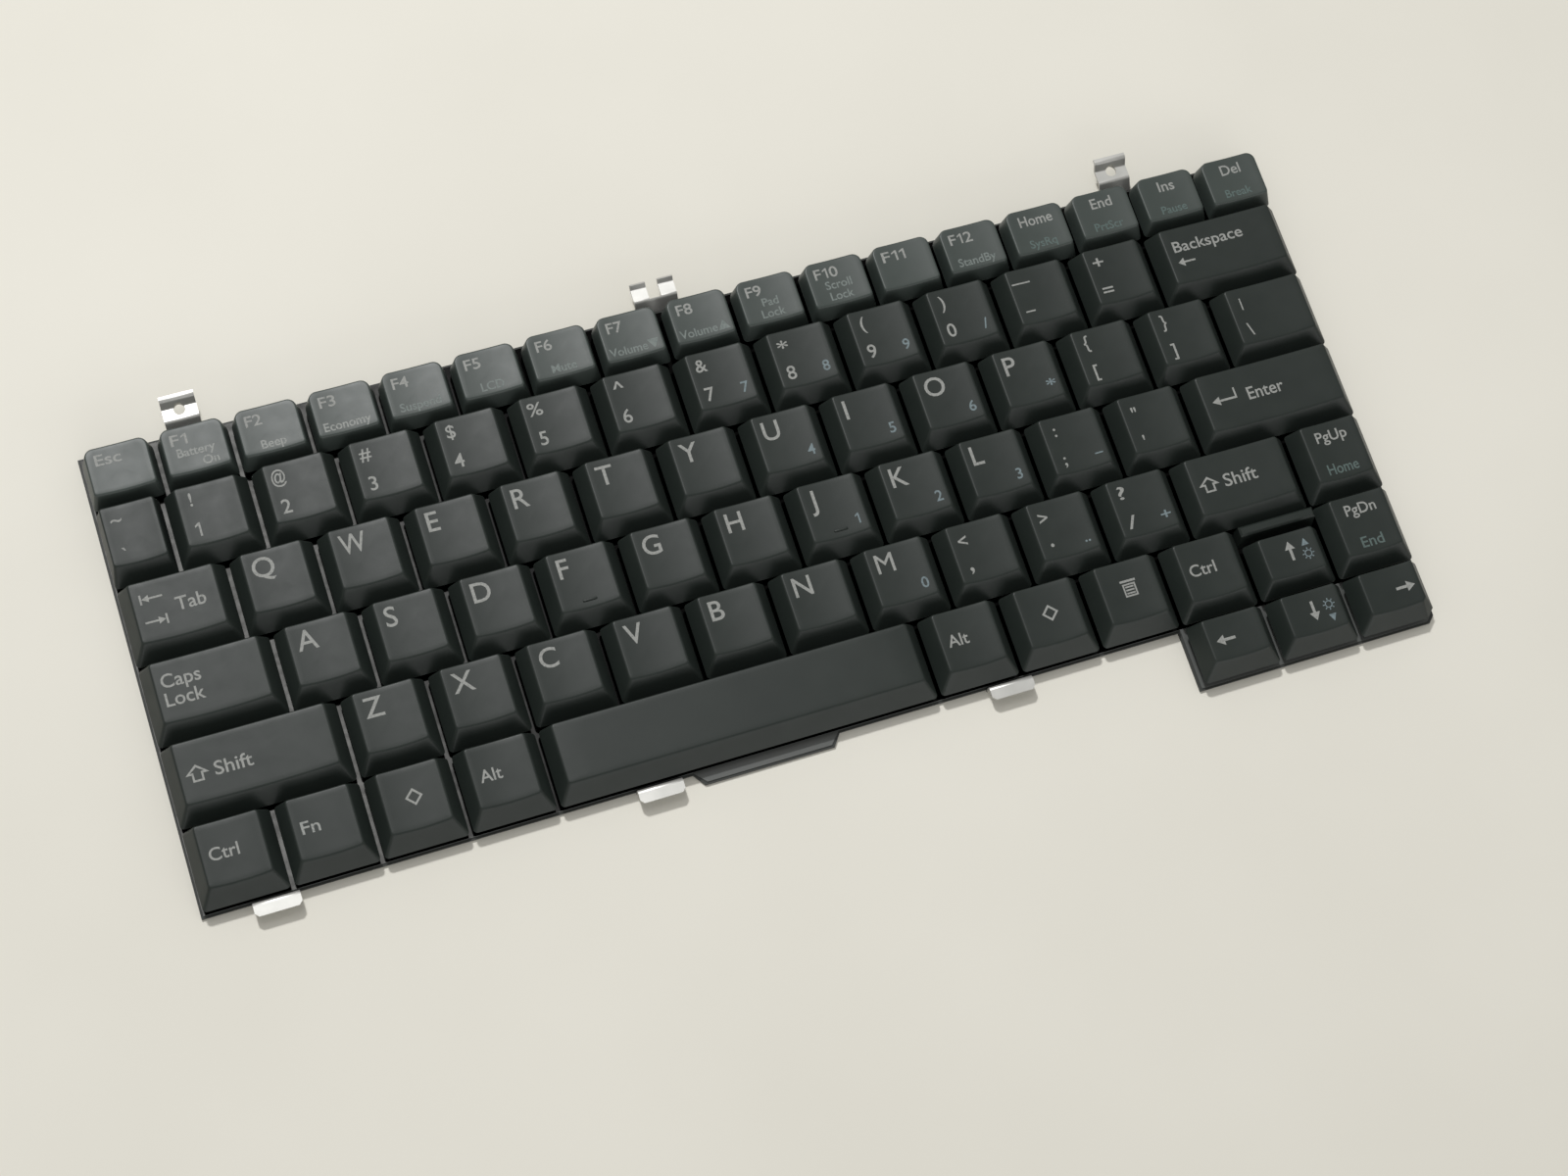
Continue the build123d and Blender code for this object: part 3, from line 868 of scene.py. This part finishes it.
def legends(cap):
    """Marks on one cap, as (plate, x of its middle or left, y of its foot or middle, centred, ink)."""
    left, right, front, back = cap.face()
    middle_x = (left + right) / 2
    middle_y = (front + back) / 2
    word_y = middle_y - WORD_HEIGHT / 2
    name = cap.name
    marks = []

    def write(text, height, x, y, centred=False, ink=PALE, width=None):
        marks.append((word(text, height, width), x, y, centred, ink))

    def draw(plate, x, y, ink=PALE):
        marks.append((plate, x, y, False, ink))

    if cap.node == "function_keys":
        named = name in ("home", "end", "insert", "delete")
        x = middle_x if named else left + FUNCTION_LEFT
        y = back - BACK_MARGIN - FUNCTION_HEIGHT
        text, width = FUNCTION_WORDS.get(name, (name.upper(), F_WIDTHS.get(len(name))))
        write(text, FUNCTION_HEIGHT, x, y, centred=named, width=width)
        for k, note in enumerate(reversed(FUNCTION_NOTES.get(name, ()))):
            note_y = front + NOTE_MARGIN + NOTE_PITCH * k
            # The lighter ink on the notes of F1 to F3 is a painted highlight.
            note_ink = TEAL if named else WORN_AND_GLINT if name in GLINT_NOTES else FAINT
            note_x = middle_x + NOTE_SHIFTS.get(note, 0.0)
            write(note, SMALL_HEIGHT, note_x, note_y, centred=True, ink=note_ink)
    elif name in PAIRS:
        upper, lower = PAIRS[name]
        x = left + PAIR_CENTRE
        y = back - BACK_MARGIN - SYMBOL_HEIGHT - SIGN_DROPS.get(upper, 0.0)
        height = BAR_SIGN_HEIGHT if upper == "|" else SYMBOL_HEIGHT
        write(upper, height, x, y, centred=True, width=SIGN_WIDTHS.get(upper))
        y = front + FRONT_MARGIN - SIGN_DROPS.get(lower, 0.0)
        height = DIGIT_HEIGHT if lower.isdigit() else STOP_HEIGHT if lower in ",." else SYMBOL_HEIGHT
        write(lower, height, x, y, centred=True, width=SIGN_WIDTHS.get(lower))
    elif len(name) == 1:
        width = W_WIDTH if name == "w" else None
        y = back - BACK_MARGIN - LETTER_HEIGHT
        write(name.upper(), LETTER_HEIGHT, left + LETTER_LEFT, y, width=width)
    if name in PAD:
        text = PAD[name]
        width = PAD_WIDTHS.get(text)
        x = right - PAD_CENTRE
        write(text, PAD_HEIGHT, x, front + FRONT_MARGIN, centred=True, ink=BLUE, width=width)

    if name == "tab":
        for turns, y in zip((2, 0), TAB_ARROWS_Y):
            draw(arrow(TAB_ARROW_LENGTH, turns, bar=True), left + TAB_ARROW_X, back - y)
        write("Tab", WORD_HEIGHT, left + TAB_WORD_X, word_y)
    elif name == "caps_lock":
        for k, part in enumerate(("Caps", "Lock")):
            write(part, WORD_HEIGHT, left + CAPS_X, back - CAPS_Y - WORD_HEIGHT - CAPS_PITCH * k)
    elif name in ("shift_left", "shift_right"):
        drop = SHIFT_LEFT_DROP if name == "shift_left" else 0.0
        draw(shift_arrow(), left + SHIFT_ARROW_X, middle_y - drop)
        write("Shift", WORD_HEIGHT, left + SHIFT_WORD_X, word_y - drop, width=SHIFT_WIDTH)
    elif name in SHORT_WORDS:
        ink = WORN_AND_GLINT if name == "fn" else PALE
        text = SHORT_WORDS[name]
        y = middle_y - SHORT_WORD_HEIGHT / 2
        write(text, SHORT_WORD_HEIGHT, left + SHORT_WORD_X, y, ink=ink, width=SHORT_WORD_WIDTHS[text])
    elif name in ("mark_left", "mark_right"):
        draw(diamond(), middle_x, middle_y)
    elif name == "menu":
        draw(menu_mark(), middle_x, middle_y)
    elif name == "backspace":
        write("Backspace", BACKSPACE_HEIGHT, left + BACKSPACE_X, back - BACKSPACE_Y, width=BACKSPACE_WIDTH)
        mark = arrow(BACKSPACE_ARROW_LENGTH, 2, wing=BACKSPACE_ARROW_WING)
        draw(mark, left + BACKSPACE_ARROW_X, back - BACKSPACE_ARROW_Y)
    elif name == "enter":
        draw(enter_arrow(), left + ENTER_ARROW_X, middle_y)
        write("Enter", WORD_HEIGHT, left + ENTER_WORD_X, word_y, width=ENTER_WIDTH)
    elif name in PAGE_WORDS:
        upper, lower = PAGE_WORDS[name]
        write(upper, FUNCTION_HEIGHT, middle_x, back - PAGE_Y, centred=True, width=PAGE_WIDTH)
        width = PAGE_WIDTH if lower == "Home" else PAGE_END_WIDTH
        y = front + PAGE_NOTE_MARGIN
        write(lower, FUNCTION_HEIGHT, middle_x, y, centred=True, ink=TEAL, width=width)
    elif name == "left":
        draw(bold_arrow(2), middle_x + LEFT_ARROW_X, middle_y + SIDE_ARROW_Y)
    elif name == "right":
        draw(bold_arrow(0), middle_x + RIGHT_ARROW_X, middle_y + SIDE_ARROW_Y)
    elif name in SIDE_MARKS_Y:
        turns = 1 if name == "up" else 3
        triangle_y, sun_y = SIDE_MARKS_Y[name]
        arrow_y = UP_ARROW_Y if name == "up" else 0.0
        draw(bold_arrow(turns), middle_x, middle_y + arrow_y)
        draw(triangle(turns), middle_x + SIDE_MARKS_X, middle_y + triangle_y, ink=BLUE)
        draw(sun(), middle_x + SIDE_MARKS_X, middle_y + sun_y, ink=BLUE)
    return marks


def add_legends(shape, cap):
    """Lay the cap's marks on its dished face."""
    for plate, x, y, centred, ink in legends(cap):
        shift = x - (plate.width() / 2 if centred else 0)
        points = [Vector((p.x + shift, p.y + y, p.z + cap.surface(p.x + shift))) for p in plate.points]
        shape.add(points, plate.faces, ink)


def add_bump(shape, cap):
    """A finger bar with round ends that stands out of the dish near the front of the face."""
    left, right, front, _ = cap.face()
    x = (left + right) / 2
    y = front + BUMP_SETBACK
    floor = cap.surface(x)
    rings = []
    profile = [(1.0, -BUMP_SINK)] + [(share, BUMP_HEIGHT * lift) for share, lift in BUMP_PROFILE]
    for share, lift in profile:
        half_width = BUMP_WIDTH / 2 * share
        half_length = (BUMP_LENGTH - BUMP_WIDTH) / 2 + half_width
        radii = (half_width * BUMP_END, half_width * BUMP_END)
        outline = loop(x - half_length, x + half_length, y - half_width, y + half_width, radii)
        rings.append(raised(outline, floor + lift))
    shape.add_rings(rings)


def material(name):
    """A new node material with its shader and a reader of object coordinates."""
    made = bpy.data.materials.new(name)
    made.use_nodes = True
    shader = made.node_tree.nodes["Principled BSDF"]
    place = made.node_tree.nodes.new("ShaderNodeTexCoord").outputs["Object"]
    return made, made.node_tree, shader, place


def noise(tree, place, scale, detail):
    node = tree.nodes.new("ShaderNodeTexNoise")
    node.inputs["Scale"].default_value = scale
    node.inputs["Detail"].default_value = detail
    tree.links.new(place, node.inputs["Vector"])
    return node.outputs["Fac"]


def ramp(tree, factor, colours, places=TONE_PLACES):
    """A colour that goes from the first to the second between two places of the factor."""
    node = tree.nodes.new("ShaderNodeValToRGB")
    for element, position, colour in zip(node.color_ramp.elements, places, colours, strict=True):
        element.position = position
        element.color = (*colour, 1)
    tree.links.new(factor, node.inputs["Fac"])
    return node.outputs["Color"]


def between(tree, factor, low, high):
    node = tree.nodes.new("ShaderNodeMapRange")
    node.inputs["To Min"].default_value = low
    node.inputs["To Max"].default_value = high
    tree.links.new(factor, node.inputs["Value"])
    return node.outputs["Result"]


def bump(tree, shader, height, strength, distance):
    node = tree.nodes.new("ShaderNodeBump")
    node.inputs["Strength"].default_value = strength
    node.inputs["Distance"].default_value = distance
    tree.links.new(height, node.inputs["Height"])
    tree.links.new(node.outputs["Normal"], shader.inputs["Normal"])


def plastic(name, dark, pale, roughness, grain, shine=PLASTIC_SHINE):
    """Moulded plastic: a little uneven in tone and gloss, with a fine spark-eroded grain."""
    made, tree, shader, place = material(name)
    tone = ramp(tree, noise(tree, place, *TONE_NOISE), (dark, pale))
    tree.links.new(tone, shader.inputs["Base Color"])
    patches = noise(tree, place, *GLOSS_NOISE)
    gloss = between(tree, patches, roughness - GLOSS_SPREAD, roughness + GLOSS_SPREAD)
    tree.links.new(gloss, shader.inputs["Roughness"])
    shader.inputs["Specular IOR Level"].default_value = shine
    bump(tree, shader, noise(tree, place, *GRAIN_NOISE), grain, GRAIN_DEPTH)
    return made


def ink(name, thin, full):
    """Printed ink, a little worn."""
    made, tree, shader, place = material(name)
    tone = ramp(tree, noise(tree, place, *WEAR_NOISE), (thin, full), WEAR_PLACES)
    tree.links.new(tone, shader.inputs["Base Color"])
    shader.inputs["Roughness"].default_value = INK_ROUGHNESS
    shader.inputs["Specular IOR Level"].default_value = INK_SHINE
    return made


def compare(tree, value, operation, limit):
    """1 where the value is on that side of the limit and 0 elsewhere."""
    node = tree.nodes.new("ShaderNodeMath")
    node.operation = operation
    node.inputs[1].default_value = limit
    tree.links.new(value, node.inputs[0])
    return node.outputs["Value"]


def blend(tree, factor, first, second):
    """First colour where the factor is 0 and second where it is 1."""
    node = tree.nodes.new("ShaderNodeMix")
    node.data_type = "RGBA"
    tree.links.new(factor, node.inputs["Factor"])
    tree.links.new(first, node.inputs["A"])
    node.inputs["B"].default_value = (*second, 1)
    return node.outputs["Result"]


def split(tree, vector):
    node = tree.nodes.new("ShaderNodeSeparateXYZ")
    tree.links.new(vector, node.inputs["Vector"])
    return node.outputs


def sheet_metal():
    """Bare rolled sheet with fine lines and dull patches. Below a height, the plate is dark on all but its
    downward faces, partly a dark coating and partly painted shade.
    """
    made, tree, shader, place = material("sheet_metal")
    stretch = tree.nodes.new("ShaderNodeMapping")
    stretch.inputs["Scale"].default_value = ROLL_STRETCH
    tree.links.new(place, stretch.inputs["Vector"])
    lines = noise(tree, stretch.outputs["Vector"], *ROLL_NOISE)
    bare = ramp(tree, noise(tree, place, *METAL_NOISE), BARE_TONES)
    # Painted shade: low faces of the plate, except those turned down, are darkened along with the coating.
    low = compare(tree, split(tree, place)["Z"], "LESS_THAN", COAT_AND_SHADE_TOP)
    facing = tree.nodes.new("ShaderNodeTexCoord").outputs["Normal"]
    upward = compare(tree, split(tree, facing)["Z"], "GREATER_THAN", FACING_LIMIT)
    shade_coat_node = tree.nodes.new("ShaderNodeMath")
    shade_coat_node.operation = "MULTIPLY"
    tree.links.new(low, shade_coat_node.inputs[0])
    tree.links.new(upward, shade_coat_node.inputs[1])
    coat_and_shade = shade_coat_node.outputs["Value"]
    tree.links.new(blend(tree, coat_and_shade, bare, COAT_AND_SHADE_COLOUR), shader.inputs["Base Color"])
    tree.links.new(between(tree, coat_and_shade, BARE_METALLIC, 0.0), shader.inputs["Metallic"])
    gloss = between(tree, noise(tree, place, *METAL_GLOSS_NOISE), *METAL_GLOSS)
    tree.links.new(gloss, shader.inputs["Roughness"])
    tree.links.new(between(tree, coat_and_shade, *METAL_SHINE), shader.inputs["Specular IOR Level"])
    bump(tree, shader, lines, ROLL_STRENGTH, ROLL_DEPTH)
    return made


def film():
    """Silvered switch film, faded towards the right into near-black painted shade; its tongue in front of
    the keys carries a dark print.
    """
    made, tree, shader, place = material("film")
    ahead = compare(tree, split(tree, place)["Y"], "LESS_THAN", BLOCK_FRONT)
    silver = ramp(tree, noise(tree, place, *SILVER_NOISE), SILVER_TONES, SILVER_PLACES)
    # Painted shade: the film darkens to near black from the left towards the right, so its gap lines stay
    # dark there.
    fade = tree.nodes.new("ShaderNodeMapRange")
    fade.inputs["From Min"].default_value = SHADE_FADE_X[0]
    fade.inputs["From Max"].default_value = SHADE_FADE_X[1]
    tree.links.new(split(tree, place)["X"], fade.inputs["Value"])
    shaded_film = blend(tree, fade.outputs["Result"], silver, FILM_SHADE_COLOUR)
    tree.links.new(blend(tree, ahead, shaded_film, TONGUE_COLOUR), shader.inputs["Base Color"])
    tree.links.new(between(tree, ahead, 1.0, 0.0), shader.inputs["Metallic"])
    tree.links.new(between(tree, ahead, *FILM_GLOSS), shader.inputs["Roughness"])
    return made


def table_top():
    """Pale laminate with a faint cloudiness."""
    made, tree, shader, place = material("table_top")
    tone = ramp(tree, noise(tree, place, *TABLE_NOISE), TABLE_TONES)
    tree.links.new(tone, shader.inputs["Base Color"])
    shader.inputs["Roughness"].default_value = TABLE_ROUGHNESS
    shader.inputs["Specular IOR Level"].default_value = TABLE_SHINE
    return made


KEY_TONES = ((0.016, 0.021, 0.0185), (0.0195, 0.025, 0.022))
# The function row's plastic is lighter than the other keys'. This is partly a lighter moulding and partly
# painted sheen for the light that row catches from behind the keyboard.
FUNCTION_TONES_AND_SHEEN = ((0.038, 0.049, 0.044), (0.044, 0.055, 0.050))
BAR_TONES = ((0.015, 0.02, 0.0175), (0.0185, 0.024, 0.021))
LEVER_TONES = ((0.05, 0.052, 0.05), (0.065, 0.067, 0.065))
DOME_TONES = ((0.45, 0.43, 0.4), (0.55, 0.53, 0.49))
DARK_SHINE = 0.3
FUNCTION_SHINE = 0.45
LEVER_ROUGHNESS = 0.45
LEVER_GRAIN = 0.1
DOME_ROUGHNESS = 0.65
DOME_GRAIN = 0.15

key_plastic = plastic("key_plastic", *KEY_TONES, PLASTIC_ROUGHNESS, PLASTIC_GRAIN, DARK_SHINE)
function_plastic = plastic(
    "function_plastic", *FUNCTION_TONES_AND_SHEEN, PLASTIC_ROUGHNESS, PLASTIC_GRAIN, FUNCTION_SHINE
)
bar_plastic = plastic("bar_plastic", *BAR_TONES, PLASTIC_ROUGHNESS, PLASTIC_GRAIN, DARK_SHINE)
lever_plastic = plastic("lever_plastic", *LEVER_TONES, LEVER_ROUGHNESS, LEVER_GRAIN, DARK_SHINE)
dome_rubber = plastic("dome_rubber", *DOME_TONES, DOME_ROUGHNESS, DOME_GRAIN)
pale_ink = ink("pale_ink", (0.2, 0.205, 0.195), (0.29, 0.295, 0.28))
blue_ink = ink("blue_ink", (0.11, 0.14, 0.15), (0.165, 0.21, 0.225))
faint_ink = ink("faint_ink", (0.1, 0.12, 0.115), (0.17, 0.195, 0.185))
# Worn ink, also a painted highlight where it lies on the notes of F1 to F3.
worn_ink = ink("worn_ink", (0.16, 0.17, 0.165), (0.29, 0.3, 0.285))
teal_ink = ink("teal_ink", (0.06, 0.085, 0.081), (0.092, 0.128, 0.12))

# Key caps with their legends
caps = all_caps()
for cap in caps:
    shape = Shape()
    shape.add_rings(cap_rings(cap))
    if cap.name in BUMP_KEYS:
        add_bump(shape, cap)
    add_legends(shape, cap)
    # Function keys take the lighter plastic, whose tone carries painted sheen.
    body_plastic = function_plastic if cap.node == "function_keys" else key_plastic
    inks = (pale_ink, blue_ink, faint_ink, worn_ink, teal_ink)
    piece = shape.object(f"cap_{cap.name}", (body_plastic, *inks))
    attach(piece, cap.body)
    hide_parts(cap.node)
bpy.data.objects.remove(writer)

# Rubber domes, each under its key
for low, high in islands("rubber_domes"):
    centre = (low + high) / 2
    cap = next(c for c in caps if c.low.x < centre.x < c.high.x and c.low.y < centre.y < c.high.y)
    foot = (high.x - low.x) / 2
    height = high.z - low.z
    shape = Shape()
    rings = []
    for width, share in DOME_PROFILE:
        outline = [(centre.x + x, centre.y + y) for x, y in ring_loop(foot * width, DOME_SEGMENTS)]
        rings.append([Vector((x, y, low.z + share * height)) for x, y in outline])
    shape.add_rings(rings)
    piece = shape.object(f"dome_{cap.name}", (dome_rubber,))
    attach(piece, "base")
    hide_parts("rubber_domes")
    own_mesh(piece)


def finish_node(node, finish, bevel):
    """Give a CAD node its finish and softened edges."""
    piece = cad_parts[node]
    piece.data.materials.clear()
    piece.data.materials.append(finish)
    weld = piece.modifiers.new("weld", "WELD")
    weld.merge_threshold = WELD_GAP
    soft = piece.modifiers.new("soft_edges", "BEVEL")
    soft.width = bevel
    soft.segments = BEVEL_SEGMENTS
    soft.limit_method = "ANGLE"
    soft.angle_limit = BEVEL_ANGLE
    soft.harden_normals = True


finish_node("base_plate", sheet_metal(), SHEET_BEVEL)
finish_node("switch_film", film(), FILM_BEVEL)
finish_node("spacer_bar", bar_plastic, BAR_BEVEL)
finish_node("outer_levers", lever_plastic, SHEET_BEVEL)
finish_node("inner_levers", lever_plastic, SHEET_BEVEL)

# Floor
FLOOR_HALF = 3.0
FLOOR_DROP = 0.05 * MM
floor_mesh = bpy.data.meshes.new("floor")
floor_corners = rectangle(0, 0, 2 * FLOOR_HALF, 2 * FLOOR_HALF)
floor_mesh.from_pydata([(x, y, -FLOOR_DROP) for x, y in floor_corners], [], [(0, 1, 2, 3)])
floor_mesh.materials.append(table_top())
floor = bpy.data.objects.new("floor", floor_mesh)
bpy.context.scene.collection.objects.link(floor)
floor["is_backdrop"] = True

# Light: a small soft box behind the keyboard, a broad one overhead, a pale wall in front and an even room
LIGHT_DISTANCE = 1.6
KEY_FROM = Vector((-0.13, 0.65, 1.0))
KEY_SIZE = 0.14
KEY_POWER = 15.6
OVERHEAD_FROM = Vector((-0.08, 0.28, 0.95))
OVERHEAD_SIZE = 0.6
OVERHEAD_POWER = 2.6
FRONT_PLACE = Vector((0.2, -1.6, 0.5))
FRONT_SIZE = (2.4, 1.0)
FRONT_POWER = 10.5
ROOM_LIGHT = 0.37
ROOM_COLOUR = (1.0, 0.99, 0.96)


def soft_box(name, source, size, power):
    """A disk of light that looks at the keyboard from a direction."""
    data = bpy.data.lights.new(name, "AREA")
    data.shape = "DISK"
    data.size = size
    data.energy = power
    lamp = bpy.data.objects.new(name, data)
    lamp.location = source.normalized() * LIGHT_DISTANCE
    lamp.rotation_mode = "QUATERNION"
    lamp.rotation_quaternion = (-source).to_track_quat("-Z", "Y")
    bpy.context.scene.collection.objects.link(lamp)


soft_box("key_light", KEY_FROM, KEY_SIZE, KEY_POWER)
soft_box("overhead_light", OVERHEAD_FROM, OVERHEAD_SIZE, OVERHEAD_POWER)
wall_data = bpy.data.lights.new("front_wall", "AREA")
wall_data.shape = "RECTANGLE"
wall_data.size, wall_data.size_y = FRONT_SIZE
wall_data.energy = FRONT_POWER
wall = bpy.data.objects.new("front_wall", wall_data)
wall.location = FRONT_PLACE
wall.rotation_mode = "QUATERNION"
wall.rotation_quaternion = Vector((0, 1, 0)).to_track_quat("-Z", "Y")
bpy.context.scene.collection.objects.link(wall)
world = bpy.data.worlds.new("room")
world.use_nodes = True
world.node_tree.nodes["Background"].inputs["Color"].default_value = (*ROOM_COLOUR, 1)
world.node_tree.nodes["Background"].inputs["Strength"].default_value = ROOM_LIGHT
bpy.context.scene.world = world

# Camera, set from the key grid in the photograph
CAMERA_AIM = Vector((-1.867, -16.465, 7.8)) * MM
CAMERA_DISTANCE = 587.85 * MM
CAMERA_AZIMUTH = math.radians(-37.525)
CAMERA_ELEVATION = math.radians(71.13)
CAMERA_ROLL = math.radians(20.309)
CAMERA_SENSOR = 36.0
CAMERA_LENS = 62.657
CAMERA_NEAR = 0.01
camera_data = bpy.data.cameras.new("camera")
camera_data.sensor_width = CAMERA_SENSOR
camera_data.lens = CAMERA_LENS
camera = bpy.data.objects.new("camera", camera_data)
away = Vector(
    (
        math.sin(CAMERA_AZIMUTH) * math.cos(CAMERA_ELEVATION),
        -math.cos(CAMERA_AZIMUTH) * math.cos(CAMERA_ELEVATION),
        math.sin(CAMERA_ELEVATION),
    )
)
camera.location = CAMERA_AIM + away * CAMERA_DISTANCE
camera.rotation_mode = "QUATERNION"
camera.rotation_quaternion = (-away).to_track_quat("-Z", "Y") @ Quaternion((0, 0, 1), CAMERA_ROLL)
camera_data.clip_start = CAMERA_NEAR
bpy.context.scene.collection.objects.link(camera)
bpy.context.scene.camera = camera
bpy.context.scene.view_settings.view_transform = "Standard"

bpy.context.view_layer.update()
low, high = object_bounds()
